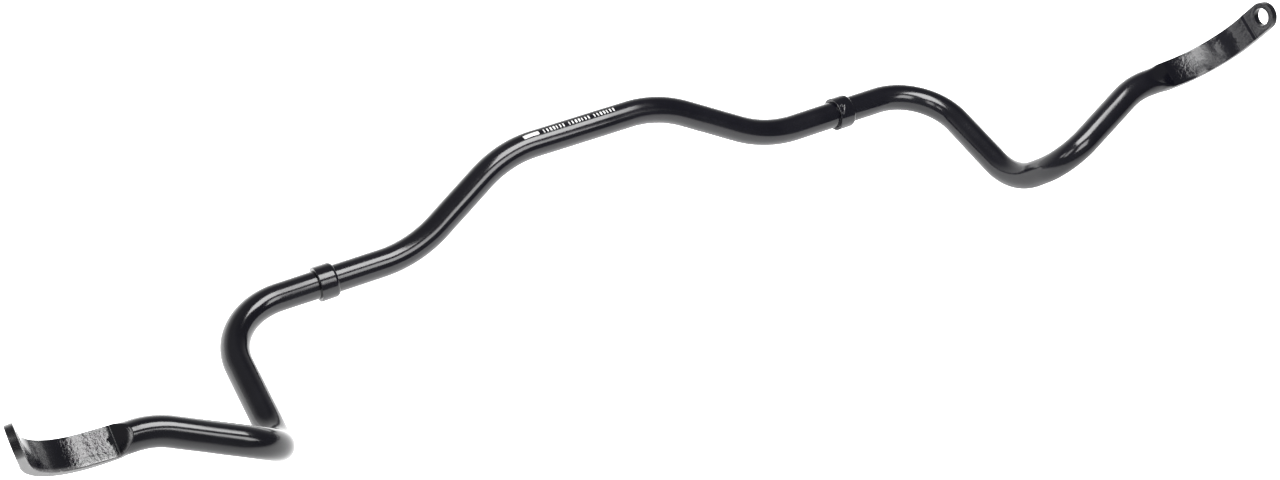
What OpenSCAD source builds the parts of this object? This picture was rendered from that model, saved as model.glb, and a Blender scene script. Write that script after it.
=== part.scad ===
// Tubular sway bar, lying at rest on its two collars and its two lower legs.
// Millimetres. X runs across the vehicle, Z is up, and the floor is Z = 0.
// The bar is one formed tube, mirrored about X = 0, with two crimped locating collars.

/* [Tube] */
// Outside diameter of the tube
tube_diameter = 20; // [19:0.5:20.5]
// Wall thickness of the tube
tube_wall = 3; // [2:0.25:3.5]

/* [Middle crank] */
// Half of the cranked middle stretch, from the centre to its bend point
crank_half_width = 62.5; // [58:0.5:66]
// How far the cranked middle stands off the bush axis, measured along the floor
crank_reach = 30; // [27:0.5:34]
// How far the cranked middle stands above the bush axis
crank_rise = 37; // [33:0.5:40]
// Bend radius at the ends of the cranked middle
crank_bend = 90; // [80:1:95]
// Bend radius where the crank meets the bush axis
crank_foot_bend = 95; // [80:1:100]
// Distance from the centre to the bend point where the crank meets the bush axis
crank_foot_x = 145.5; // [142:0.5:148]

/* [Shoulders and legs] */
// Distance from the centre to the shoulder's bend point
shoulder_x = 291; // [288:0.5:296]
// Bend radius of the shoulder
shoulder_bend = 46; // [40:1:48]
// Sideways position of the leg's lower bend point
leg_x = 294; // [292:0.5:297]
// Length of the leg along the floor, from the bush axis
leg_reach = 116.5; // [112:0.5:122]
// How far the leg's lower bend point lies below the bush axis
leg_drop = 3.05; // [2.5:0.05:3.1]
// Bend radius at the end of the leg
leg_bend = 43; // [38:1:45]

/* [Knee and arm] */
// Sideways position of the knee's bend point
knee_x = 306; // [304:0.5:309]
// Distance of the knee's bend point from the bush axis, along the floor
knee_reach = 148.5; // [147:0.5:150]
// Height of the knee's bend point above the bush axis
knee_rise = 41; // [39:0.5:43]
// Bend radius of the knee
knee_bend = 34; // [30:1:35]
// Sideways position of the elbow's bend point
elbow_x = 375.5; // [372:0.5:378]
// Distance of the elbow's bend point from the bush axis, along the floor
elbow_reach = 128; // [126:0.5:130]
// Height of the elbow's bend point above the bush axis
elbow_rise = 70.5; // [69:0.5:72]
// Bend radius of the elbow
elbow_bend = 53; // [46:1:56]

/* [Flattened ends] */
// Sideways position of the flat end's bend point
wrist_x = 450.5; // [448:0.5:454]
// Distance of the flat end's bend point from the bush axis, along the floor
wrist_reach = 131; // [129:0.5:133]
// Height of the flat end's bend point above the bush axis
wrist_rise = 77; // [75:0.5:79]
// Bend radius of the flat end, measured at its middle thickness
wrist_bend = 50; // [46:1:51]
// Sideways position of the eye's centre
eye_x = 458; // [456:0.5:460]
// Distance of the eye's centre from the bush axis, along the floor
eye_reach = 152; // [150:0.5:154]
// Height of the eye's centre above the bush axis
eye_rise = 130.5; // [129:0.5:133]
// Width of the flat, which is also the width of the rounded eye
flat_width = 21; // [20.5:0.5:23]
// Thickness of the flat, two walls pressed together
flat_thickness = 6; // [5:0.25:7]
// Length over which the round tube is pressed down to the flat
press_length = 20; // [16:1:21]
// Hole in the eye for the end link's stud
eye_hole_diameter = 12.5; // [10.5:0.5:13]

/* [Crimped collars] */
// Distance from the centre to the middle of each collar
collar_x = 212.5; // [209:0.5:215]
// Length of a collar along the bar
collar_length = 13; // [11:0.5:15]
// Outside diameter of a collar
collar_diameter = 25; // [24:0.5:27]
// Depth that crimping presses a collar into the tube
crimp_depth = 0.25; // [0.15:0.05:0.4]
// Length of the sloped edge at one end of a collar
collar_slope_length = 2; // [1:0.5:3]

/* [Hidden] */

$fn = 96;

tube_r = tube_diameter / 2;
bore_r = tube_r - tube_wall;
collar_r = collar_diameter / 2;
seat_r = tube_r - crimp_depth;
collar_chamfer = 0.5;
collar_slope_depth = 0.8;
// A bend is this much fatter than the straights, and each straight runs this far into it,
// so that every joint along the tube is a clean step.
bend_swell = 0.03;
bend_lap = 0.8;
// The collars stand on the floor.
axis_z = collar_r;

// Bend points of the right half in order, with the bush axis on Y = 0.
POINTS = [
    [0, crank_reach, axis_z + crank_rise],
    [crank_half_width, crank_reach, axis_z + crank_rise],
    [crank_foot_x, 0, axis_z],
    [shoulder_x, 0, axis_z],
    [leg_x, -leg_reach, axis_z - leg_drop],
    [knee_x, -knee_reach, axis_z + knee_rise],
    [elbow_x, -elbow_reach, axis_z + elbow_rise],
    [wrist_x, -wrist_reach, axis_z + wrist_rise],
    [eye_x, -eye_reach, axis_z + eye_rise],
];
BENDS = [0, crank_bend, crank_foot_bend, shoulder_bend, leg_bend, knee_bend, elbow_bend, wrist_bend, 0];
FLAT = 7;
END = 8;

function unit(v) = v / norm(v);
// Direction of the straight that leaves a bend point.
function heading(i) = unit(POINTS[i + 1] - POINTS[i]);
// Angle that a bend turns through.
function turn(i) = (i == 0 || i == END) ? 0 : acos(heading(i - 1) * heading(i));
// Length of tube axis that a bend takes from each straight beside it.
function setback(i) = BENDS[i] * tan(turn(i) / 2);
// Length of the straight between two bends.
function straight(i) = norm(POINTS[i + 1] - POINTS[i]) - setback(i) - setback(i + 1);
// Direction from the start of a bend towards its centre.
function inward(i) = unit(heading(i) - heading(i - 1) * (heading(i) * heading(i - 1)));
// The same direction carried round to the bend's end.
function carried(i) = (i == 0) ? [0, 0, -1] : inward(i) * cos(turn(i)) - heading(i - 1) * sin(turn(i));
// Turn of the bending plane between one bend and the next.
function roll(i) = atan2(cross(carried(i - 1), inward(i)) * heading(i - 1), carried(i - 1) * inward(i));

// The eye's face normal, and the Y shift that puts the origin under the middle of the whole bar.
eye_normal = carried(FLAT);
eye_far_y = -eye_reach - flat_width / 2 * sqrt(1 - pow(eye_normal[1], 2));
near_y = eye_far_y - flat_thickness / 2 * abs(eye_normal[1]);
shift_y = -(near_y + crank_reach + tube_r + bend_swell) / 2;

// A piece of bent round bar that starts at the origin along Z and turns towards +X.
module round_bend(angle, bend, r) {
    translate([bend, 0, 0])
        rotate([90, 0, 180])
            rotate_extrude(angle = angle)
                translate([bend, 0])
                    circle(r = r + bend_swell);
}

// Moves what follows to the end of such a bend.
module past_bend(angle, bend) {
    translate([bend * (1 - cos(angle)), 0, bend * sin(angle)])
        rotate([0, angle, 0])
            children();
}

// Round tube from the centre out to the flat end. Children go on from there.
module round_run(i, r) {
    before = (i == 0) ? 0 : bend_lap;
    translate([0, 0, -before])
        cylinder(h = straight(i) + before + bend_lap, r = r);
    translate([0, 0, straight(i)])
        rotate([0, 0, roll(i + 1)]) {
            round_bend(turn(i + 1), BENDS[i + 1], r);
            past_bend(turn(i + 1), BENDS[i + 1])
                if (i + 2 < FLAT)
                    round_run(i + 1, r) children();
                else
                    rotate([0, 0, roll(FLAT)]) children();
        }
}

// The right half's start, at the middle of the bar and heading out along X.
module from_centre() {
    translate([0, shift_y, 0])
        translate(POINTS[0])
            rotate([0, 90, 0])
                children();
}

// Round tube pressed down to a wedge, thinnest at the far end.
module pressed_wedge() {
    intersection() {
        translate([0, 0, -bend_lap])
            cylinder(h = press_length + bend_lap, r = tube_r);
        rotate([90, 0, 0])
            linear_extrude(height = tube_diameter + 2, center = true)
                polygon([
                    [-tube_r - 1, -1],
                    [tube_r + 1, -1],
                    [tube_r + 1, 0],
                    [flat_thickness / 2, press_length],
                    [-flat_thickness / 2, press_length],
                    [-tube_r - 1, 0],
                ]);
    }
}

// Flat strip that widens out of the wedge.
module strip_root() {
    rotate([90, 0, 90])
        linear_extrude(height = flat_thickness, center = true)
            polygon([
                [-tube_r * 0.9, press_length * 0.3],
                [tube_r * 0.9, press_length * 0.3],
                [flat_width / 2, press_length],
                [-flat_width / 2, press_length],
            ]);
}

// Flat strip from the wedge round the last bend to the eye, without the eye's hole.
module flat_strip() {
    lead = straight(FLAT - 1) - press_length;
    tail = straight(FLAT);
    pressed_wedge();
    strip_root();
    translate([-flat_thickness / 2, -flat_width / 2, press_length])
        cube([flat_thickness, flat_width, lead + bend_lap]);
    translate([0, 0, straight(FLAT - 1)]) {
        translate([wrist_bend, 0, 0])
            rotate([90, 0, 180])
                rotate_extrude(angle = turn(FLAT))
                    translate([wrist_bend, 0])
                        square([flat_thickness + 2 * bend_swell, flat_width + 2 * bend_swell], center = true);
        past_bend(turn(FLAT), wrist_bend) {
            translate([-flat_thickness / 2, -flat_width / 2, -bend_lap])
                cube([flat_thickness, flat_width, tail + bend_lap]);
            translate([0, 0, tail])
                rotate([0, 90, 0])
                    cylinder(h = flat_thickness, r = flat_width / 2, center = true);
        }
    }
}

// The hole through the eye.
module eye_hole() {
    translate([0, 0, straight(FLAT - 1)])
        past_bend(turn(FLAT), wrist_bend)
            translate([0, 0, straight(FLAT)])
                rotate([0, 90, 0])
                    cylinder(h = flat_thickness + 4, d = eye_hole_diameter, center = true);
}

// The tube's bore closes to nothing inside the pressed wedge.
module closing_bore() {
    translate([0, 0, -bend_lap])
        cylinder(h = press_length * 0.6, r1 = bore_r, r2 = 1);
}

// Shallow seat that the crimped collar presses into the tube.
module collar_seat() {
    translate([collar_x - collar_length / 2, shift_y, axis_z])
        rotate([0, 90, 0])
            difference() {
                cylinder(h = collar_length, r = tube_r + 2);
                cylinder(h = collar_length, r = seat_r);
            }
}

module half_solid() {
    from_centre() round_run(0, tube_r) flat_strip();
}

module half_cavities() {
    from_centre() round_run(0, bore_r) closing_bore();
    collar_seat();
}

module half_hole() {
    from_centre() round_run_frame(0) eye_hole();
}

// The same walk along the bar with nothing drawn on the way.
module round_run_frame(i) {
    translate([0, 0, straight(i)])
        rotate([0, 0, roll(i + 1)])
            past_bend(turn(i + 1), BENDS[i + 1])
                if (i + 2 < FLAT)
                    round_run_frame(i + 1) children();
                else
                    rotate([0, 0, roll(FLAT)]) children();
}

// One formed tube from eye to eye.
module bar() {
    color([0.05, 0.05, 0.055])
        difference() {
            union() {
                half_solid();
                mirror([1, 0, 0]) half_solid();
            }
            union() {
                half_cavities();
                mirror([1, 0, 0]) half_cavities();
            }
            half_hole();
            mirror([1, 0, 0]) half_hole();
        }
}

// Crimped ring with a crisp edge at its -X end and a sloped edge at its +X end.
module collar(x) {
    translate([x - collar_length / 2, shift_y, axis_z])
        rotate([0, 90, 0])
            rotate_extrude()
                polygon([
                    [seat_r, 0],
                    [collar_r - collar_chamfer, 0],
                    [collar_r, collar_chamfer],
                    [collar_r, collar_length - collar_slope_length],
                    [collar_r - collar_slope_depth, collar_length],
                    [seat_r, collar_length],
                ]);
}

module collar_left() {
    color([0.08, 0.08, 0.085])
        collar(-collar_x);
}

module collar_right() {
    color([0.08, 0.08, 0.085])
        collar(collar_x);
}

bar();
collar_left();
collar_right();
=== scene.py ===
"""The look of the sway bar: a bent, pressed tube in gloss black paint, two crimped collars, an ink mark."""

import math

import bpy
import numpy as np
from mathutils import Matrix


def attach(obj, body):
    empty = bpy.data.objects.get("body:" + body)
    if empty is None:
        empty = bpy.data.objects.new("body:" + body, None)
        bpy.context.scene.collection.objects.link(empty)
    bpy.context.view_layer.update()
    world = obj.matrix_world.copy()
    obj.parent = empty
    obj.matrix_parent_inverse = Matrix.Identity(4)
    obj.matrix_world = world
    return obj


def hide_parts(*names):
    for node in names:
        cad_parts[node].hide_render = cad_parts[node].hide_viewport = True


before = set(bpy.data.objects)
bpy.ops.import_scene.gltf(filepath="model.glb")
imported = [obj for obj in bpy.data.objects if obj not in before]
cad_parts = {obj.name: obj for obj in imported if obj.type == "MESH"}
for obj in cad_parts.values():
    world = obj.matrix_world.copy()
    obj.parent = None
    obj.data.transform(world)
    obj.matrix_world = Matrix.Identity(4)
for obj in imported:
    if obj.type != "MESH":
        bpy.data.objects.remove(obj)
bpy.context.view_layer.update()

MM = 0.001

# The bar's route, right half: each bend point in mm in the row frame, and the radius of the bend there.
ROUTE = [
    ((0.0, 91.293, 49.5), 0.0),
    ((62.5, 91.293, 49.5), 90.0),
    ((145.5, 61.293, 12.5), 95.0),
    ((291.0, 61.293, 12.5), 46.0),
    ((294.0, -55.207, 9.45), 43.0),
    ((306.0, -87.207, 53.5), 34.0),
    ((375.5, -66.707, 83.0), 53.0),
    ((450.5, -69.707, 89.5), 50.0),
    ((458.0, -90.707, 143.0), 0.0),
]

TUBE_RADIUS = 10.0
SEAT_RADIUS = 9.75  # the neck squeezed in by each collar
FLAT_HALF_WIDTH = 10.5
FLAT_HALF_THICKNESS = 3.0
FLAT_CORNER = 0.7
FLAT_EDGE = 10.0  # how far across from its middle the falling away of a face is measured
EYE_HOLE_RADIUS = 6.25
HOLE_CHAMFER = 0.15
COIN_RADIUS = 8.7  # the washer face struck round the eye's hole
COIN_DEPTH = 0.16
COIN_EDGE = 0.25  # half the width of its sloping edge
STEP_DISTANCE = 14.8  # from the hole's centre to the step across the flat
STEP_DEPTH = 0.35
STEP_GROOVE = 0.7
GROOVE_FALL, GROOVE_RISE = (-2.2, 1.6), (1.7, 2.4)  # where its groove goes down and comes up, from the step

# The two ends were pressed one at a time, so they differ a little. Sizes are in mm, and places are in mm
# along the bar from the elbow.
# - bite, closed: where the die starts to bite, and where it is shut
# - crease: how soft the edge of the bite is
# - groove: how deep the line along that edge is
# - pinch, run: how deep the die's nose sits in the upper face, and how far that takes to fade
# - dimples: where the upper face is pitted
# - haze: where the paint on it is duller
# - nick: how deep the dent at the nose is
# - crown: how far the upper face falls away towards both its edges
# - droop: how much further it falls away towards its front edge
# - hammer: how deep the pits are
# - fillet: how round the wedge's foot is
LEFT_END = dict(
    bite=4.2,
    closed=12.2,
    crease=0.4,
    groove=0.5,
    pinch=1.3,
    run=15.0,
    dimples=(10.0, 45.0),
    haze=(0.0, 1.0),
    nick=0.4,
    crown=0.0,
    droop=0.0,
    hammer=0.02,
    fillet=0.4,
)
RIGHT_END = dict(
    bite=0.0,
    closed=20.0,
    crease=2.0,
    groove=0.0,
    pinch=0.2,
    run=9.5,
    dimples=(21.0, 44.0),
    haze=(36.0, 56.0),
    nick=0.0,
    crown=0.4,
    droop=1.1,
    hammer=0.09,
    fillet=0.05,
)
UNDER_PINCH, UNDER_RUN = 0.3, 9.5  # the die's nose in the lower face, at both ends
STEADY_FADE = 0.65  # the share of the nose that fades evenly, and the rest fades with an easing at both ends
STEADY_EASING = (-0.02, 0.1)  # the even fade sets in over this much of its run
GROOVE_WIDTH = 0.6
LIP, LIP_LENGTH, LIP_HALF_WIDTH = 0.6, 14.0, 9.0  # the metal pushed up ahead of the die
LIP_LIMIT = 1.4  # the lip goes on growing past the bite, until it is this many times its length
SQUARE_FROM, SQUARE_PAST = 0.3, 1.5  # the section squares up from this share of the bite to this far past it
PRESS_LENGTH = 20.0
NICK_PAST, NICK_LENGTH, NICK_ACROSS, NICK_WIDTH = 3.2, 1.1, -0.5, 1.6  # the dent, from where the die is shut

# The surface's unevenness in mm: its mean depth, and for the tube the size of its lumps and the noise's seed.
WAVES = (0.06, 16.0, 1)
RIPPLES = (0.012, 6.0, 2)
PRESSED_DEPTH = 0.018  # on the pressed faces, where they aren't pitted
STREAK_DEPTH = 0.022  # on the part of the flat towards the eye
TORN_DEPTH = 0.07  # on the sheared wall

COLLAR_CENTRE = 212.5
COLLAR_LENGTH = 13.0
COLLAR_RADIUS = 12.5
COLLAR_SLOPE_LENGTH = 2.0
COLLAR_SLOPE_DEPTH = 0.8
NECK_SHOULDER = 0.1  # the length over which the tube narrows to the neck
NECK_RINGS = (-0.6, -0.15, 0.0, NECK_SHOULDER, 0.12, 0.4)  # sections round a neck's end, inwards from it

# Points round one section of the bar: across each face, and round each side with its two corners.
FACE_STEPS = 44
CORNER_STEPS = 4
WALL_STEPS = 10
SIDE_STEPS = WALL_STEPS + 2 * CORNER_STEPS
RING = 2 * (FACE_STEPS + SIDE_STEPS)

TUBE_SPACING = 2.4
FLAT_SPACING = 0.32
FINE_AHEAD = 3.0  # the close spacing starts this far before the press
EYE_GRID_REACH = 12.0  # from the hole's centre back to the last plain section
EYE_RADIAL_STEPS = 16
EYE_CROWDING = 1.15  # over 1, the rings of the eye's face crowd towards the hole
EYE_BORE_STEPS = 4  # from the chamfer to the bore's middle
EYE_STRAIGHT_STEPS = 26
EYE_ARC_STEPS = 70


def unit(v):
    return v / np.linalg.norm(v)


def spin(v, axis, angle):
    """v turned about a unit axis. angle may be an array, which gives one row for each angle."""
    c, s = np.cos(angle)[..., None], np.sin(angle)[..., None]
    return v * c + np.cross(axis, v) * s + axis * (axis @ v) * (1 - c)


def smooth(low, high, x):
    t = np.clip((x - low) / (high - low), 0.0, 1.0)
    return t * t * (3 - 2 * t)


def soft_min(a, b, width):
    gap = np.maximum(width - np.abs(a - b), 0.0) / width
    return np.minimum(a, b) - gap * gap * width / 4


def hump(x, width):
    """1 at zero, falling smoothly to almost nothing at twice the width."""
    return np.exp(-((x / width) ** 2))


def lattice(ix, iy, iz, seed):
    """A repeatable random number from -1 to 1 at each whole-number point."""
    n = (ix * 374761393 + iy * 668265263 + iz * 1274126177 + seed * 1013904223) & 0xFFFFFFFF
    n = ((n ^ (n >> 13)) * 1103515245) & 0xFFFFFFFF
    n = ((n ^ (n >> 16)) * 2246822519) & 0xFFFFFFFF
    return ((n ^ (n >> 15)) & 0xFFFF) / 32767.5 - 1.0


def wander(points, size, seed):
    """Smooth noise from -1 to 1 over points in mm, with lumps of about that size."""
    p = points / size + 100.0
    cell = np.floor(p).astype(np.int64)
    f = p - cell
    f = f * f * f * (f * (f * 6 - 15) + 10)
    total = np.zeros(len(points))
    for dx in (0, 1):
        for dy in (0, 1):
            for dz in (0, 1):
                weight = np.ones(len(points))
                for axis, d in enumerate((dx, dy, dz)):
                    weight = weight * (f[:, axis] if d else 1 - f[:, axis])
                total += weight * lattice(cell[:, 0] + dx, cell[:, 1] + dy, cell[:, 2] + dz, seed)
    return total


def sunk(points, depth, size, seed):
    """Noise that goes from nothing down to twice the depth."""
    return depth * (1 + wander(points, size, seed))


# ---------------------------------------------------------------- the route


def route_pieces():
    """The straights and bends of the right half, in order, each with the section's axes at its start."""
    points = [np.array(p) for p, _ in ROUTE]
    heads = [unit(b - a) for a, b in zip(points, points[1:])]
    pieces, here, s = [], points[0], 0.0
    for i in range(1, len(points)):
        radius, turn, last = ROUTE[i][1], 0.0, i == len(points) - 1
        if not last:
            turn = math.acos(float(heads[i - 1] @ heads[i]))
        setback = radius * math.tan(turn / 2)
        end = points[i] - heads[i - 1] * setback
        length = float(np.linalg.norm(end - here))
        pieces.append(dict(s=s, length=length, start=here, head=heads[i - 1], radius=0.0))
        s += length
        if not last:
            inward = unit(heads[i] - heads[i - 1] * (heads[i - 1] @ heads[i]))
            bend = dict(s=s, length=radius * turn, start=end, head=heads[i - 1], radius=radius)
            bend.update(inward=inward, axis=np.cross(heads[i - 1], inward))
            pieces.append(bend)
            s += radius * turn
            here = points[i] + heads[i] * setback
    wrist = pieces[-2]
    across = wrist["axis"]
    normal = spin(wrist["inward"], across, np.array(wrist["length"] / wrist["radius"]))
    for piece in reversed(pieces):
        if piece["radius"]:
            back = np.array(-piece["length"] / piece["radius"])
            normal = spin(normal, piece["axis"], back)
            across = spin(across, piece["axis"], back)
        piece["normal"], piece["across"] = normal, across
    return pieces


PIECES = route_pieces()
EYE_S = PIECES[-1]["s"] + PIECES[-1]["length"]
PRESS_START = PIECES[-3]["s"]
PRESS_END = PRESS_START + PRESS_LENGTH
EYE_GRID_S = EYE_S - EYE_GRID_REACH
AXIS_PIECE = PIECES[4]  # the straight on the bush axis


def place(p):
    """Turns points from (along the route, across, out of the face) to the row frame, all in mm."""
    out = np.zeros((len(p), 3))
    for i, piece in enumerate(PIECES):
        inside = p[:, 0] >= piece["s"] if i else np.full(len(p), True)
        if i < len(PIECES) - 1:
            inside &= p[:, 0] < piece["s"] + piece["length"]
        d = p[inside, 0] - piece["s"]
        if piece["radius"]:
            angle = d / piece["radius"]
            middle = piece["start"] + piece["radius"] * (
                piece["head"] * np.sin(angle)[:, None] + piece["inward"] * (1 - np.cos(angle))[:, None]
            )
            normal = spin(piece["normal"], piece["axis"], angle)
            across = spin(piece["across"], piece["axis"], angle)
        else:
            middle = piece["start"] + piece["head"] * d[:, None]
            normal, across = piece["normal"], piece["across"]
        out[inside] = middle + across * p[inside, 1:2] + normal * p[inside, 2:3]
    return out


def s_on_axis(x):
    """The distance along the route of a place on the bush axis."""
    return AXIS_PIECE["s"] + x - AXIS_PIECE["start"][0]


# ---------------------------------------------------------------- the sections


def side_profile():
    """(how far out, height) from the top corner's start round the side to the bottom corner's end."""
    top, rho = FLAT_HALF_THICKNESS, FLAT_CORNER
    profile = []
    for i in range(CORNER_STEPS + 1):
        a = math.pi / 2 * i / CORNER_STEPS
        profile.append((rho * math.sin(a), top - rho + rho * math.cos(a)))
    for i in range(1, WALL_STEPS):
        profile.append((rho, (top - rho) * (1 - 2 * i / WALL_STEPS)))
    profile += [(out, -height) for out, height in reversed(profile[: CORNER_STEPS + 1])]
    return np.array(profile)


SIDE = side_profile()
INSET = FLAT_HALF_WIDTH - FLAT_CORNER


def flat_section():
    """(across, height) round the pressed section, from the + side's bottom corner up and over the top."""
    face = np.linspace(INSET, -INSET, FACE_STEPS + 1)
    points = [(INSET + out, height) for out, height in SIDE[::-1]]
    points += [(w, FLAT_HALF_THICKNESS) for w in face[1:]]
    points += [(-INSET - out, height) for out, height in SIDE[1:]]
    points += [(-w, -FLAT_HALF_THICKNESS) for w in face[1:-1]]
    return np.array(points)


FLAT = flat_section()
ANGLES = (np.arange(RING) - SIDE_STEPS / 2) * 2 * math.pi / RING


def half_depth(s, above, end):
    """Half the bar's thickness under the die, above or below its middle. Before the die it is over 10 mm."""
    bite, closed = PRESS_START + end["bite"], PRESS_START + end["closed"]
    slope = (TUBE_RADIUS - FLAT_HALF_THICKNESS) / (closed - bite)
    lift = (closed - s) * slope
    rounded = (lift + np.sqrt(lift * lift + end["fillet"])) / 2
    t = np.clip((s - closed) / np.where(above, end["run"], UNDER_RUN), 0.0, 1.0)
    nose = np.where(above, end["pinch"], UNDER_PINCH) * smooth(bite, closed, s)
    steady = t * smooth(*STEADY_EASING, t)
    nose = nose * (1 - STEADY_FADE * steady - (1 - STEADY_FADE) * smooth(0.0, 1.0, t))
    return np.minimum(FLAT_HALF_THICKNESS - nose + rounded, 1.5 * TUBE_RADIUS)


def section(s, end):
    """(across, height) round the bar's section at a distance along the route, towards one of the ends."""
    x = AXIS_PIECE["start"][0] + s - AXIS_PIECE["s"]
    in_neck = abs(x - COLLAR_CENTRE) <= COLLAR_LENGTH / 2 - NECK_SHOULDER
    radius = SEAT_RADIUS if in_neck else TUBE_RADIUS
    across, height = radius * np.cos(ANGLES), radius * np.sin(ANGLES)
    bite, closed = PRESS_START + end["bite"], PRESS_START + end["closed"]
    near_bite = min(max((s - bite) / LIP_LENGTH + 1.0, 0.0), LIP_LIMIT)
    height = height + (height > 0) * LIP * near_bite**2 * np.maximum(1 - (across / LIP_HALF_WIDTH) ** 2, 0.0)
    depth = half_depth(np.full(RING, s), height > 0, end)
    line = end["groove"] * hump(np.abs(height) - depth, GROOVE_WIDTH)
    height = np.sign(height) * (soft_min(np.abs(height), depth, end["crease"]) - line)
    blend = smooth(bite + SQUARE_FROM * (closed - bite), closed + SQUARE_PAST, s)
    across = across * (1 - blend) + FLAT[:, 0] * blend
    height = height * (1 - blend) + FLAT[:, 1] * depth / FLAT_HALF_THICKNESS * blend
    return across, height


def ring_stations():
    """Where the bar's rings lie along the route: close together at the collars' necks and along the flat."""
    marks = [0.0]
    for piece in PIECES[: len(PIECES) - 3]:
        marks.append(piece["s"] + piece["length"])
    for end in (-1, 1):
        edge = s_on_axis(COLLAR_CENTRE + end * COLLAR_LENGTH / 2)
        marks += [edge - end * d for d in NECK_RINGS]
    marks += [PRESS_START - FINE_AHEAD]
    marks = sorted(m for m in marks if m <= PRESS_START - FINE_AHEAD)
    stations = []
    for a, b in zip(marks, marks[1:]):
        steps = max(1, math.ceil((b - a) / TUBE_SPACING))
        stations += [a + (b - a) * i / steps for i in range(steps)]
    steps = math.ceil((EYE_GRID_S - marks[-1]) / FLAT_SPACING)
    stations += list(np.linspace(marks[-1], EYE_GRID_S, steps + 1))
    return stations


def eye_outline():
    """(along, across, outward along, outward across) round the edge of the eye's face, from the + side on."""
    rows = [(s, INSET, 0.0, 1.0) for s in np.linspace(EYE_GRID_S, EYE_S, EYE_STRAIGHT_STEPS + 1)]
    for i in range(1, EYE_ARC_STEPS + 1):
        a = math.pi * i / EYE_ARC_STEPS
        rows.append((EYE_S + INSET * math.sin(a), INSET * math.cos(a), math.sin(a), math.cos(a)))
    back = np.linspace(EYE_S, EYE_GRID_S, EYE_STRAIGHT_STEPS + 1)
    rows += [(s, -INSET, 0.0, -1.0) for s in back[1:]]
    return np.array(rows)


def step_shape(s):
    """How far the flat's faces are struck down beyond the step across it."""
    d = s - (EYE_S - STEP_DISTANCE)
    return (STEP_DEPTH + STEP_GROOVE) * smooth(*GROOVE_FALL, d) - STEP_GROOVE * smooth(*GROOVE_RISE, d)


def patch(grid, closed):
    """Points and quads over a grid of points. closed joins the last column to the first."""
    n, m = grid.shape[:2]
    row = np.arange(n - 1)[:, None] * m
    here = np.arange(m if closed else m - 1)[None, :]
    following = (here + 1) % m
    quads = np.stack([row + here, row + m + here, row + m + following, row + following], -1)
    return grid.reshape(-1, 3), quads.reshape(-1, 4)


def strip_grid(end):
    """The points and quads of one half of the bar, from its middle to the last plain section of the flat."""
    grid = []
    for s in ring_stations():
        across, height = section(s, end)
        grid.append(np.column_stack([np.full(RING, s), across, height]))
    return patch(np.array(grid), True)


def eye_grids():
    """The eye's two faces, outer wall and bore: (grid of points, whether it closes, which way it faces)."""
    outline = eye_outline()
    start = np.linspace(-INSET, INSET, FACE_STEPS + 1)[1:-1]
    loop = np.vstack([outline[:, :2], np.column_stack([np.full(len(start), EYE_GRID_S), start])])
    centre = np.array([EYE_S, 0.0])
    way = (loop - centre) / np.linalg.norm(loop - centre, axis=1)[:, None]
    rim = centre + way * (EYE_HOLE_RADIUS + HOLE_CHAMFER)
    t = np.linspace(0, 1, EYE_RADIAL_STEPS + 1)[:, None, None] ** EYE_CROWDING
    spread = rim[None] * (1 - t) + loop[None] * t
    top = np.full(spread.shape[:2] + (1,), FLAT_HALF_THICKNESS)
    grids = [(np.concatenate([spread, side * top], -1), True, (0, 0, 1)) for side in (1, -1)]

    wall = np.zeros((len(outline), SIDE_STEPS + 1, 3))
    wall[:, :, 0] = outline[:, 0:1] + outline[:, 2:3] * SIDE[None, :, 0]
    wall[:, :, 1] = outline[:, 1:2] + outline[:, 3:4] * SIDE[None, :, 0]
    wall[:, :, 2] = SIDE[None, :, 1]
    grids.append((wall, False, (1, 1, 0)))

    depth, chamfer = FLAT_HALF_THICKNESS, HOLE_CHAMFER
    heights = [(chamfer, depth), (chamfer * 0.35, depth - chamfer * 0.3), (0.0, depth - chamfer)]
    heights += [(0.0, (depth - chamfer) * (1 - i / EYE_BORE_STEPS)) for i in range(1, EYE_BORE_STEPS)]
    heights = heights + [(0.0, 0.0)] + [(out, -h) for out, h in reversed(heights)]
    bore = np.zeros((len(heights), len(loop), 3))
    for i, (out, h) in enumerate(heights):
        bore[i, :, :2] = centre + way * (EYE_HOLE_RADIUS + out)
        bore[i, :, 2] = h
    grids.append((bore, True, (-1, -1, 0)))
    return grids


def faced(p, quads, way):
    """The quads turned to face away from the eye's centre along the axes given, or towards it if negative."""
    a, b = p[quads[:, 2]] - p[quads[:, 0]], p[quads[:, 3]] - p[quads[:, 1]]
    outward = (p[quads].mean(1) - [EYE_S, 0.0, 0.0]) * way
    return quads if np.einsum("ij,ij->", np.cross(a, b), outward) > 0 else quads[:, ::-1]


def weld(points, quads):
    """Joins points that coincide to a thousandth of a mm. Returns which points stay, and the new quads."""
    key = np.round(points * 1000 + 0.137).astype(np.int64)
    _, first, where = np.unique(key, axis=0, return_index=True, return_inverse=True)
    return first, where.reshape(-1)[quads]


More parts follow.
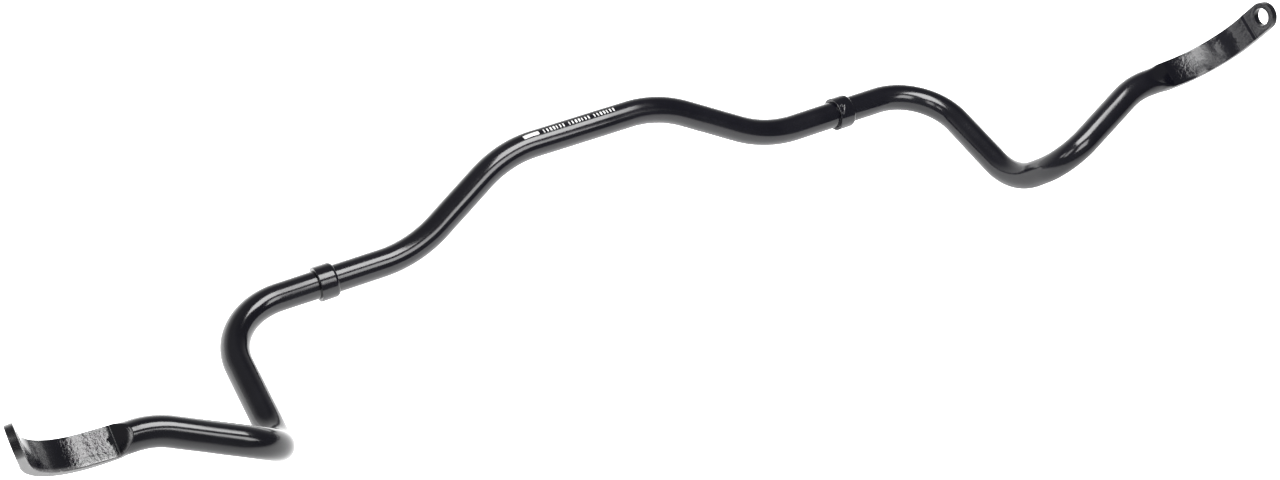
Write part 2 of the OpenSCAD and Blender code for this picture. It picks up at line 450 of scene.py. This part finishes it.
def shaped(p, end):
    """The struck details of the flat: its falling edges, the step, the washer face and a nick."""
    p = p.copy()
    s, across = p[:, 0], p[:, 1]
    face = smooth(FLAT_HALF_THICKNESS - 0.6, FLAT_HALF_THICKNESS, np.abs(p[:, 2]))
    on_flat = s > PRESS_END + 3
    from_hole = np.hypot(s - EYE_S, across)
    sink = COIN_DEPTH * (1 - smooth(COIN_RADIUS - COIN_EDGE, COIN_RADIUS + COIN_EDGE, from_hole))
    sink += step_shape(s)
    crowned = smooth(PRESS_START + 10, PRESS_END + 4, s) * (1 - smooth(EYE_S - 38, EYE_S - 24, s))
    drooped = 1 - smooth(PRESS_END + 27, PRESS_END + 37, s)
    front = np.maximum(across, 0.0)
    fall = end["crown"] * (across / FLAT_EDGE) ** 2 + end["droop"] * drooped * (front / FLAT_EDGE) ** 3
    p[:, 2] -= (p[:, 2] > 0) * fall * crowned * face
    p[:, 2] -= np.sign(p[:, 2]) * sink * face * on_flat
    nick = hump(s - PRESS_START - end["closed"] - NICK_PAST, NICK_LENGTH)
    nick = nick * hump(across - NICK_ACROSS, NICK_WIDTH)
    p[:, 2] -= end["nick"] * nick * (p[:, 2] > 1.0)
    return p


def vertex_normals(xyz, quads):
    """The surface's direction at each point, from the quads round it."""
    a, b = xyz[quads[:, 2]] - xyz[quads[:, 0]], xyz[quads[:, 3]] - xyz[quads[:, 1]]
    flat = np.cross(a, b)
    out = np.zeros_like(xyz)
    for k in range(4):
        np.add.at(out, quads[:, k], flat)
    return out / np.maximum(np.linalg.norm(out, axis=1), 1e-12)[:, None]


def outward(xyz, quads):
    """The quads of a closed surface, turned round if they face inwards."""
    a, b, c, d = (xyz[quads[:, k]] for k in range(4))
    volume = np.einsum("ij,ij->", a, np.cross(b, c)) + np.einsum("ij,ij->", a, np.cross(c, d))
    return quads[:, ::-1] if volume < 0 else quads


def half_mesh(end):
    """The points of one half as (along, across, out) in mm, and its quads."""
    p, quads = strip_grid(end)
    quads = faced(p, quads, (0, 1, 1))
    for grid, closed, way in eye_grids():
        more, faces = patch(grid, closed)
        quads = np.vstack([quads, faced(more, faces, way) + len(p)])
        p = np.vstack([p, more])
    kept, quads = weld(p, quads)
    return shaped(p[kept], end), quads


def bar_mesh():
    """Points in mm, quads, and for each point its (along, across, out) and which end it is nearer."""
    right, right_quads = half_mesh(RIGHT_END)
    left, left_quads = half_mesh(LEFT_END)
    xyz = np.vstack([place(right), place(left) * [-1, 1, 1]])
    quads = np.vstack([right_quads, left_quads[:, ::-1] + len(right)])
    p = np.vstack([right, left])
    side = np.repeat([1, -1], [len(right), len(left)])
    kept, quads = weld(xyz, quads)
    return xyz[kept], quads, p[kept], side[kept]


def by_end(side, value):
    """For each point, the value of the end that it is nearer."""
    return np.where(side > 0, value(RIGHT_END), value(LEFT_END))


def stretch(p, side, key, easing):
    """1 over the stretch that an end gives under that name, easing in at its start and out at its stop."""
    s = p[:, 0] - PRESS_START
    start = by_end(side, lambda end: end[key][0])
    stop = by_end(side, lambda end: end[key][1])
    return smooth(0, 1, (s - start) / easing) * (1 - smooth(0, 1, (s - stop) / easing))


def zones(p, side):
    """Weights from 0 to 1 for each point: pitted, sheared, worn paint with a painted highlight along the left
    crease, hazy paint, and pressed face.
    """
    s, across, height = p[:, 0], p[:, 1], np.abs(p[:, 2])
    above = p[:, 2] > 0
    depth = by_end(side, lambda end: half_depth(s, above, end))
    face = smooth(depth - 1.2, depth - 0.8, height) * (1 - smooth(INSET - 1.0, INSET, np.abs(across)))
    face = face * smooth(PRESS_START + 12.0, PRESS_START + 20.0, s)
    haze = stretch(p, side, "haze", 5.0) * face
    short_of_eye = 1 - smooth(EYE_S - 18, EYE_S - 15, s)
    pitted = np.maximum(stretch(p, side, "dimples", 4.0) * face, 0.2 * face * short_of_eye)
    pitted = np.maximum(pitted, 0.5 * haze) * np.where(side > 0, 1.0, 0.7)
    reach = np.hypot(np.maximum(s - EYE_S, 0.0), across)
    sheared = smooth(INSET + 0.1, INSET + 0.35, reach) * smooth(EYE_S - 3.0, EYE_S + 1.0, s)
    edge = smooth(FLAT_HALF_THICKNESS - 0.7, FLAT_HALF_THICKNESS - 0.2, height)
    corner = smooth(INSET - 0.1, INSET + 0.15, reach) * edge
    corner *= 0.5 * smooth(PRESS_END - 4, PRESS_END + 4, s)
    # a painted highlight along the crease, where the bite cuts across the round of the tube: a bright line of
    # bare-steel colour laid on to stand in for the crease's glint
    crease_highlight = hump(np.hypot(across, p[:, 2]) - TUBE_RADIUS, 0.9) * hump(height - depth + 0.3, 0.7)
    grooved = by_end(side, lambda end: end["groove"]) > 0
    worn_paint_and_highlight = np.maximum(corner, 3.0 * crease_highlight * grooved * (s > PRESS_START) * smooth(-2.0, 2.0, across))
    return pitted, sheared, worn_paint_and_highlight, haze, face


def roughen(xyz, quads, p, side):
    """Moves the surface inwards a little: the tube's faint waves, the pitted faces and the sheared wall."""
    normals = vertex_normals(xyz, quads)
    pitted, sheared, _, _, face = zones(p, side)
    depth = sunk(xyz, *WAVES) + sunk(xyz, *RIPPLES)
    lumps = 0.6 * wander(xyz, 2.2, 3) + 0.4 * wander(xyz, 1.2, 4)
    hammer = by_end(side, lambda end: end["hammer"])
    depth += (PRESSED_DEPTH + hammer * pitted) * face * (1 + lumps)
    # streaks that run aslant: the noise is drawn out along them, and each end has its own
    streaks = np.column_stack([p[:, 0] * 0.5 + p[:, 1], (p[:, 1] - p[:, 0]) * 0.1, side * 40.0])
    drawn = face * smooth(PRESS_END + 32, PRESS_END + 42, p[:, 0])
    depth += drawn * sunk(streaks, STREAK_DEPTH, 1.6, 8)
    torn = 0.6 * wander(xyz, 0.9, 6) + 0.4 * wander(xyz, 2.2, 7)
    depth += sheared * TORN_DEPTH * (1 + torn)
    return xyz - normals * depth[:, None]


def new_object(name, xyz, quads, marks=None):
    """A smooth-shaded mesh object from points in mm and quads. marks is a colour for each point."""
    mesh = bpy.data.meshes.new(name)
    mesh.from_pydata((xyz * MM).tolist(), [], quads.tolist())
    mesh.polygons.foreach_set("use_smooth", [True] * len(mesh.polygons))
    if marks is not None:
        layer = mesh.color_attributes.new("finish_and_highlight", "FLOAT_COLOR", "POINT")
        layer.data.foreach_set("color", marks.astype(np.float32).ravel())
    mesh.update()
    piece = bpy.data.objects.new(name, mesh)
    bpy.context.scene.collection.objects.link(piece)
    return piece


# ---------------------------------------------------------------- the collars

COLLAR_AROUND = 360
COLLAR_CORNER = 0.4  # the radius of the upright end's corner
COLLAR_CORNER_STEPS = 4
COLLAR_TOP_STEPS = 44
COLLAR_SLOPE_STEPS = 7
COLLAR_BORE_STEPS = 6
LOCK_OFFSET = 4.6  # from the collar's middle to the lock, towards the left
LOCK_LINE = 0.3  # how wide the pressed lines of the lock are
LINE_DEPTH, TONGUE_DEPTH, LOCK_EYE_DEPTH = 0.32, 0.18, 0.12
TONGUE_TIP, TONGUE_SPREAD = 0.45, 0.5  # half its width at the tip, and how much that grows in each mm


def collar_profile():
    """(x from the middle, radius) round a collar's section, from the bore's - end and over the outside."""
    half, top, bore, rounding = COLLAR_LENGTH / 2, COLLAR_RADIUS, SEAT_RADIUS, COLLAR_CORNER
    flat_length = COLLAR_LENGTH - rounding - COLLAR_SLOPE_LENGTH
    points = [(-half, bore), (-half, bore + 0.9), (-half, top - 0.9)]
    for i in range(COLLAR_CORNER_STEPS + 1):
        a = math.pi / 2 * i / COLLAR_CORNER_STEPS
        points.append((-half + rounding * (1 - math.cos(a)), top - rounding + rounding * math.sin(a)))
    for i in range(1, COLLAR_TOP_STEPS):
        points.append((-half + rounding + flat_length * i / COLLAR_TOP_STEPS, top))
    for i in range(COLLAR_SLOPE_STEPS + 1):
        t = i / COLLAR_SLOPE_STEPS
        lower = COLLAR_SLOPE_DEPTH * (t * t * 0.75 + 0.25 * t)
        points.append((half - COLLAR_SLOPE_LENGTH * (1 - t), top - lower))
    points += [(half, top - COLLAR_SLOPE_DEPTH - 0.5), (half, bore + 0.6), (half, bore)]
    points += [(half * (1 - 2 * i / COLLAR_BORE_STEPS), bore) for i in range(1, COLLAR_BORE_STEPS)]
    return np.array(points)


def collar_mesh(centre, lock_angle, seed):
    """A collar's points in mm, quads and marks. Its strip's ends meet in a V-shaped lock at lock_angle."""
    profile = collar_profile()
    angles = np.arange(COLLAR_AROUND) * 2 * math.pi / COLLAR_AROUND
    x = np.repeat(profile[None, :, 0], COLLAR_AROUND, 0)
    r = np.repeat(profile[None, :, 1], COLLAR_AROUND, 0)
    a = np.repeat(angles[:, None], len(profile), 1)
    outside = smooth(COLLAR_RADIUS - 1.1, COLLAR_RADIUS - 0.3, r)
    turn = (a - lock_angle + math.pi) % (2 * math.pi) - math.pi
    y = -turn * COLLAR_RADIUS  # mm round the ring from the lock's tip, upwards
    # a tongue that narrows to a rounded tip, pressed in between the lips of the strip's other end
    half_width = TONGUE_TIP + TONGUE_SPREAD * np.maximum(y, 0.0)
    from_edge = np.abs(x + LOCK_OFFSET) - half_width
    line = hump(from_edge, LOCK_LINE) * smooth(-0.6, 0.4, y) * (1 - smooth(5.0, 6.5, y))
    from_tip = np.hypot(x + LOCK_OFFSET, np.minimum(y, 0.0))
    tip = hump(from_tip - TONGUE_TIP, LOCK_LINE) * (y < 0.4) * (y > -2)
    # a ring struck at the tongue's root
    from_eye = np.hypot((x + LOCK_OFFSET - 0.8) * 1.3, y - 6.0)
    eye = hump(from_eye - 1.2, 0.3464)
    tongue = (1 - smooth(-0.6, 0.0, from_edge)) * smooth(-0.3, 0.6, y) * (1 - smooth(5.0, 7.0, y))
    r = r - outside * (LINE_DEPTH * np.maximum(line, tip) + TONGUE_DEPTH * tongue + LOCK_EYE_DEPTH * eye)
    spot = np.stack([x + centre, r * np.cos(a), r * np.sin(a)], -1).reshape(-1, 3)
    lumps = sunk(spot, 0.05, 4.5, seed) + sunk(spot, 0.02, 1.6, seed + 1)
    near_lock = hump(y - 8.0, 5.0)
    r = r - outside * lumps.reshape(r.shape) * (0.35 + 2.4 * near_lock)
    axis_y, axis_z = AXIS_PIECE["start"][1], AXIS_PIECE["start"][2]
    grid = np.stack([x + centre, axis_y + r * np.cos(a), axis_z + r * np.sin(a)], -1)
    n, m = grid.shape[:2]
    row, here = np.arange(n)[:, None], np.arange(m)[None, :]
    down, following = (row + 1) % n * m, (here + 1) % m
    row = row * m
    quads = np.stack([row + here, row + following, down + following, down + here], -1)
    edge = outside * hump(np.abs(x) - COLLAR_LENGTH / 2, 0.245)
    # on the collars this channel holds worn paint only, with no painted highlight
    worn_paint_and_highlight = np.maximum(edge * 0.08, (0.22 * np.maximum(line, tip) + 0.06 * eye) * outside)
    marks = np.stack([near_lock * outside * 0.25, edge * 0, worn_paint_and_highlight, edge * 0], -1).reshape(-1, 4)
    return grid.reshape(-1, 3), quads.reshape(-1, 4), marks


# ---------------------------------------------------------------- the ink mark

MARK_START = -46.8  # mm along the bar from its middle
MARK_ANGLE = 91.0  # degrees up from the back
MARK_HEIGHT = 3.2  # mm round the bar
BLOCK_LENGTH, BLOCK_GAP = 11.6, 3.4
GROUPS, GROUP_GAP = 3, 2.2
GROUP_DASHES, DASH_PITCH, DASH_LEAD = 7, 2.6, 0.3
DASH_WIDTHS = (0.9, 1.45, 1.1)
INK_TOP, INK_FOOT = 0.03, -0.12  # above the tube's surface
INK_STEP = 0.5
INK_ROUND_STEPS = 10


def mark_dashes():
    """(start, end) of each patch of ink along the bar: a plain block, then groups of plain upright dashes."""
    dashes = [(MARK_START, MARK_START + BLOCK_LENGTH)]
    s = MARK_START + BLOCK_LENGTH + BLOCK_GAP
    for _ in range(GROUPS):
        for i in range(GROUP_DASHES):
            width = DASH_WIDTHS[(i * 2 + i // 3) % 3]
            dashes.append((s + DASH_LEAD, s + DASH_LEAD + width))
            s += DASH_PITCH
        s += GROUP_GAP
    return dashes


def slab(start, end):
    """One patch of ink as a closed slab: points as (along, turn, radius), and quads."""
    along = max(2, math.ceil((end - start) / INK_STEP))
    n, m = along + 1, INK_ROUND_STEPS + 1
    s = start + (end - start) * np.arange(n) / along
    turn = math.radians(MARK_ANGLE) + (np.arange(m) / INK_ROUND_STEPS - 0.5) * MARK_HEIGHT / TUBE_RADIUS
    shell = np.zeros((2, n, m, 3))
    shell[..., 0] = s[None, :, None]
    shell[..., 1] = turn
    shell[0, ..., 2] = TUBE_RADIUS + INK_TOP
    shell[1, ..., 2] = TUBE_RADIUS + INK_FOOT

    def top(i, j):
        return i * m + j

    def low(i, j):
        return n * m + i * m + j

    quads = []
    for i in range(along):
        for j in range(INK_ROUND_STEPS):
            quads.append((top(i, j), top(i + 1, j), top(i + 1, j + 1), top(i, j + 1)))
            quads.append((low(i, j), low(i, j + 1), low(i + 1, j + 1), low(i + 1, j)))
    for i in range(along):
        quads.append((top(i, 0), low(i, 0), low(i + 1, 0), top(i + 1, 0)))
        quads.append((top(i, m - 1), top(i + 1, m - 1), low(i + 1, m - 1), low(i, m - 1)))
    for j in range(INK_ROUND_STEPS):
        quads.append((top(0, j), top(0, j + 1), low(0, j + 1), low(0, j)))
        quads.append((top(n - 1, j), low(n - 1, j), low(n - 1, j + 1), top(n - 1, j + 1)))
    return shell.reshape(-1, 3), np.array(quads)


def mark_mesh():
    """The patches of ink, curved to lie on the tube: points in mm and quads."""
    points, quads = np.zeros((0, 3)), []
    for start, end in mark_dashes():
        more, faces = slab(start, end)
        quads.append(faces + len(points))
        points = np.vstack([points, more])
    s, turn, r = points.T
    side = np.where(s < 0, -1.0, 1.0)
    middle = place(np.column_stack([np.abs(s), 0 * s, 0 * s]))
    ahead = place(np.column_stack([np.abs(s) + 0.01, 0 * s, 0 * s]))
    head = ahead - middle
    head /= np.linalg.norm(head, axis=1)[:, None]
    middle[:, 0] *= side
    head[:, 1:] *= side[:, None]
    up = np.array([0.0, 0.0, 1.0]) - head * head[:, 2:3]
    up /= np.linalg.norm(up, axis=1)[:, None]
    back = np.cross(up, head)
    xyz = middle + r[:, None] * (back * np.cos(turn)[:, None] + up * np.sin(turn)[:, None])
    return xyz, np.vstack(quads)


# ---------------------------------------------------------------- materials


class Nodes:
    """A node tree with short calls for the nodes used here."""

    def __init__(self, tree):
        self.tree = tree
        self.tree.nodes.clear()

    def node(self, kind, **inputs):
        made = self.tree.nodes.new(kind)
        for key, value in inputs.items():
            self.put(made.inputs[key.replace("_", " ")], value)
        return made

    def put(self, socket, value):
        if isinstance(value, bpy.types.NodeSocket):
            self.tree.links.new(value, socket)
        else:
            socket.default_value = value

    def math(self, operation, a, b=0.0, clamp=False):
        made = self.tree.nodes.new("ShaderNodeMath")
        made.operation = operation
        made.use_clamp = clamp
        self.put(made.inputs[0], a)
        self.put(made.inputs[1], b)
        return made.outputs[0]

    def spread(self, value, low, high, to_low, to_high):
        made = self.node("ShaderNodeMapRange", Value=value, From_Min=low, From_Max=high)
        self.put(made.inputs["To Min"], to_low)
        self.put(made.inputs["To Max"], to_high)
        return made.outputs["Result"]

    def blend(self, factor, a, b):
        made = self.tree.nodes.new("ShaderNodeMix")
        made.data_type = "RGBA"
        self.put(made.inputs["Factor"], factor)
        self.put(made.inputs["A"], a)
        self.put(made.inputs["B"], b)
        return made.outputs["Result"]


class Shader(Nodes):
    """A material with one Principled surface."""

    def __init__(self, name):
        self.material = bpy.data.materials.new(name)
        self.material.use_nodes = True
        super().__init__(self.material.node_tree)
        self.surface = self.node("ShaderNodeBsdfPrincipled")
        self.node("ShaderNodeOutputMaterial", Surface=self.surface.outputs["BSDF"])
        self.coords = self.node("ShaderNodeTexCoord").outputs["Object"]

    def noise(self, size_mm, detail=2.0, roughness=0.5):
        made = self.node("ShaderNodeTexNoise", Vector=self.coords, Scale=1 / (size_mm * MM))
        self.put(made.inputs["Detail"], detail)
        self.put(made.inputs["Roughness"], roughness)
        return made.outputs["Fac"]

    def zones(self):
        """The weights kept in the mesh: pitted, sheared, worn paint with the painted crease highlight, and
        hazy paint.
        """
        attribute = self.node("ShaderNodeAttribute")
        attribute.attribute_name = "finish_and_highlight"
        parts = self.node("ShaderNodeSeparateColor", Color=attribute.outputs["Color"])
        colours = [parts.outputs[channel] for channel in ("Red", "Green", "Blue")]
        return colours + [attribute.outputs["Alpha"]]

    def bump(self, height, distance_mm, strength=1.0):
        made = self.node("ShaderNodeBump", Height=height, Distance=distance_mm * MM, Strength=strength)
        self.tree.links.new(made.outputs["Normal"], self.surface.inputs["Normal"])


BLACK = (0.0018, 0.0018, 0.0042, 1.0)
SOOT = (0.0038, 0.0038, 0.0066, 1.0)
# bare steel on worn corners, and also the colour of the painted highlight along the left crease
STEEL_EDGE_AND_HIGHLIGHT = (0.18, 0.176, 0.18, 1.0)
TORN = (0.018, 0.0175, 0.017, 1.0)
INK_THICK = (0.8, 0.8, 0.79, 1.0)
INK_THIN = (0.55, 0.55, 0.55, 1.0)
WHITE = (1.0, 1.0, 1.0, 1.0)


def black_paint(name, grain):
    """Gloss black paint over pressed steel: faint orange peel, uneven gloss, worn paint on corners, and a
    painted highlight along the left crease.
    """
    shader = Shader(name)
    pitted, sheared, worn_paint_and_highlight, haze = shader.zones()
    cloud = shader.noise(28.0, 3.0)
    peel = shader.noise(1.5, 2.0)
    fine = shader.noise(0.45, 2.0)
    colour = shader.blend(shader.spread(cloud, 0.35, 0.7, 0.0, 1.0), BLACK, SOOT)
    speck = shader.spread(fine, 0.5, 0.68, 0.0, 1.0)
    colour = shader.blend(shader.math("MULTIPLY", sheared, speck), colour, TORN)
    # worn paint on corners and the painted crease highlight, broken into patches by noise
    chips_and_glints = shader.spread(shader.noise(2.6, 4.0, 0.65), 0.56, 0.7, 0.22, 0.8)
    colour = shader.blend(shader.math("MULTIPLY", worn_paint_and_highlight, chips_and_glints), colour, STEEL_EDGE_AND_HIGHLIGHT)
    shader.put(shader.surface.inputs["Base Color"], colour)
    rough = shader.spread(cloud, 0.3, 0.7, 0.10, 0.17)
    rough = shader.math("ADD", rough, shader.math("MULTIPLY", haze, 0.16))
    rough = shader.math("SUBTRACT", rough, shader.math("MULTIPLY", pitted, 0.05))
    rough = shader.math("ADD", rough, shader.math("MULTIPLY", sheared, 0.14))
    rough = shader.math("ADD", rough, shader.spread(fine, 0.3, 0.75, 0.0, 0.05))
    shader.put(shader.surface.inputs["Roughness"], rough)
    shader.surface.inputs["IOR"].default_value = 1.5
    height = shader.math("MULTIPLY", peel, grain)
    pits = shader.math("SUBTRACT", shader.noise(1.9, 3.0, 0.6), 0.5)
    pits = shader.math("MULTIPLY", shader.math("MULTIPLY", pitted, pits), 20.0)
    torn = shader.math("MULTIPLY", shader.math("MULTIPLY", sheared, fine), 2.2)
    height = shader.math("ADD", shader.math("ADD", height, pits), torn)
    shader.bump(height, 0.02)
    return shader.material


def ink():
    """Flat white marking ink, laid so sparingly that the paint's grain shows."""
    shader = Shader("marking_ink")
    patchy = shader.spread(shader.noise(0.7, 3.0, 0.6), 0.3, 0.75, 0.0, 1.0)
    shader.put(shader.surface.inputs["Base Color"], shader.blend(patchy, INK_THICK, INK_THIN))
    shader.put(shader.surface.inputs["Roughness"], shader.spread(patchy, 0.0, 1.0, 0.45, 0.6))
    shader.bump(patchy, 0.01)
    return shader.material


# ---------------------------------------------------------------- the pieces


def build_bar(paint):
    xyz, quads, p, side = bar_mesh()
    quads = outward(xyz, quads)
    marks = np.stack(zones(p, side)[:4], -1)
    piece = new_object("bar_body", roughen(xyz, quads, p, side), quads, marks)
    piece.data.materials.append(paint)
    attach(piece, "root")
    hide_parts("bar")
    return piece


def build_collar(name, node, centre, lock_angle, seed, paint):
    xyz, quads, marks = collar_mesh(centre, lock_angle, seed)
    piece = new_object(name, xyz, outward(xyz, quads), marks)
    piece.data.materials.append(paint)
    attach(piece, "root")
    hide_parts(node)
    return piece


def build_mark(material):
    xyz, quads = mark_mesh()
    piece = new_object("ink_mark", xyz, outward(xyz, quads))
    piece.data.materials.append(material)
    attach(piece, "root")
    return piece


build_bar(black_paint("bar_gloss_black", 0.22))
collar_paint = black_paint("collar_gloss_black", 0.45)
build_collar("collar_left_ring", "collar_left", -COLLAR_CENTRE, math.radians(-70), 31, collar_paint)
build_collar("collar_right_ring", "collar_right", COLLAR_CENTRE, math.radians(137), 57, collar_paint)
build_mark(ink())

# ---------------------------------------------------------------- the studio

FLOOR_HALF = 4.0


def floor():
    """A plain white table. It glows, and the paint sees that glow dimmer towards the front and the right."""
    mesh = bpy.data.meshes.new("floor")
    h = FLOOR_HALF
    mesh.from_pydata([(-h, -h, 0), (h, -h, 0), (h, h, 0), (-h, h, 0)], [], [(0, 1, 2, 3)])
    plane = bpy.data.objects.new("floor", mesh)
    bpy.context.scene.collection.objects.link(plane)
    shader = Shader("white_table")
    parts = shader.node("ShaderNodeSeparateXYZ", Vector=shader.coords)
    near = shader.spread(parts.outputs["Y"], -0.75, 0.0, 0.35, 1.35)
    far = shader.spread(parts.outputs["Y"], 0.0, 0.6, 0.0, 1.6)
    right = shader.spread(parts.outputs["X"], -0.15, 0.2, 1.0, 0.55)
    glow = shader.math("MULTIPLY", shader.math("ADD", near, far), right)
    seen = shader.node("ShaderNodeLightPath").outputs["Is Camera Ray"]
    shader.put(shader.surface.inputs["Emission Strength"], shader.math("ADD", glow, seen))
    shader.surface.inputs["Emission Color"].default_value = WHITE
    shader.surface.inputs["Base Color"].default_value = (0.8, 0.8, 0.8, 1.0)
    shader.surface.inputs["Roughness"].default_value = 0.9
    mesh.materials.append(shader.material)


def looking(place_at, right, back):
    """The placing of a camera or lamp at a point, with its right-hand and backward directions."""
    axes = np.column_stack([right, np.cross(back, right), back])
    return Matrix.Translation(place_at) @ Matrix(axes.tolist()).to_4x4()


def panel(name, place_at, aim, width, height, radiance):
    """A soft box: a rectangle of light of even radiance, facing the aim point."""
    light = bpy.data.lights.new(name, "AREA")
    light.shape = "RECTANGLE"
    light.size, light.size_y = width, height
    light.energy = radiance * width * height * math.pi
    lamp = bpy.data.objects.new(name, light)
    bpy.context.scene.collection.objects.link(lamp)
    back = unit(np.array(place_at) - np.array(aim))
    level = [0.0, 1.0, 0.0] if abs(back[2]) > 0.9 else [0.0, 0.0, 1.0]
    lamp.matrix_world = looking(place_at, unit(np.cross(level, back)), back)
    lamp.visible_camera = False
    return lamp


def surroundings():
    """A dim room for the paint to reflect, paler low at the back, and plain white where the camera looks."""
    world = bpy.data.worlds.new("studio")
    bpy.context.scene.world = world
    world.use_nodes = True
    room = Nodes(world.node_tree)
    parts = room.node("ShaderNodeSeparateXYZ", Vector=room.node("ShaderNodeTexCoord").outputs["Generated"])
    low = room.spread(parts.outputs["Z"], 0.0, 0.55, 1.7, 0.0)
    back = room.spread(parts.outputs["Y"], 0.25, 0.8, 0.0, 1.0)
    right = room.spread(parts.outputs["X"], 0.15, 0.5, 1.0, 0.55)
    glow = room.math("ADD", room.math("MULTIPLY", low, back), 0.32)
    glow = room.math("MULTIPLY", glow, right)
    reflected = room.node("ShaderNodeBackground", Color=WHITE, Strength=glow)
    seen = room.node("ShaderNodeBackground", Color=WHITE, Strength=1.0)
    mix = room.node("ShaderNodeMixShader", Fac=room.node("ShaderNodeLightPath").outputs["Is Camera Ray"])
    room.put(mix.inputs[1], reflected.outputs[0])
    room.put(mix.inputs[2], seen.outputs[0])
    room.node("ShaderNodeOutputWorld", Surface=mix.outputs[0])


CAMERA_PLACE = (-0.5746, -0.8274, 1.0424)
CAMERA_RIGHT = (0.8667, -0.4906, 0.0902)
CAMERA_AHEAD = (0.4005, 0.5765, -0.7122)
SENSOR_WIDTH, LENS = 36.0, 57.30  # mm


def camera():
    data = bpy.data.cameras.new("camera")
    data.sensor_width, data.sensor_fit, data.lens = SENSOR_WIDTH, "HORIZONTAL", LENS
    eye = bpy.data.objects.new("camera", data)
    bpy.context.scene.collection.objects.link(eye)
    right = unit(np.array(CAMERA_RIGHT))
    ahead = np.array(CAMERA_AHEAD)
    back = -unit(ahead - right * (ahead @ right))
    eye.matrix_world = looking(CAMERA_PLACE, right, back)
    bpy.context.scene.camera = eye


floor()
panel("overhead_box", (0.17, 0.005, 0.826), (0.17, 0.005, 0.0), 0.46, 0.43, 13.7)
panel("front_box", (0.175, -0.55, 0.70), (0.175, 0.0, 0.70), 0.36, 0.50, 8.0)
panel("side_box", (-0.85, 0.012, 0.895), (0.43, -0.07, 0.13), 0.22, 0.28, 5.5)
panel("left_box", (-0.86, -0.42, 1.18), (0.30, 0.06, 0.01), 0.34, 0.60, 5.0)
surroundings()
camera()
bpy.context.scene.view_settings.view_transform = "Standard"
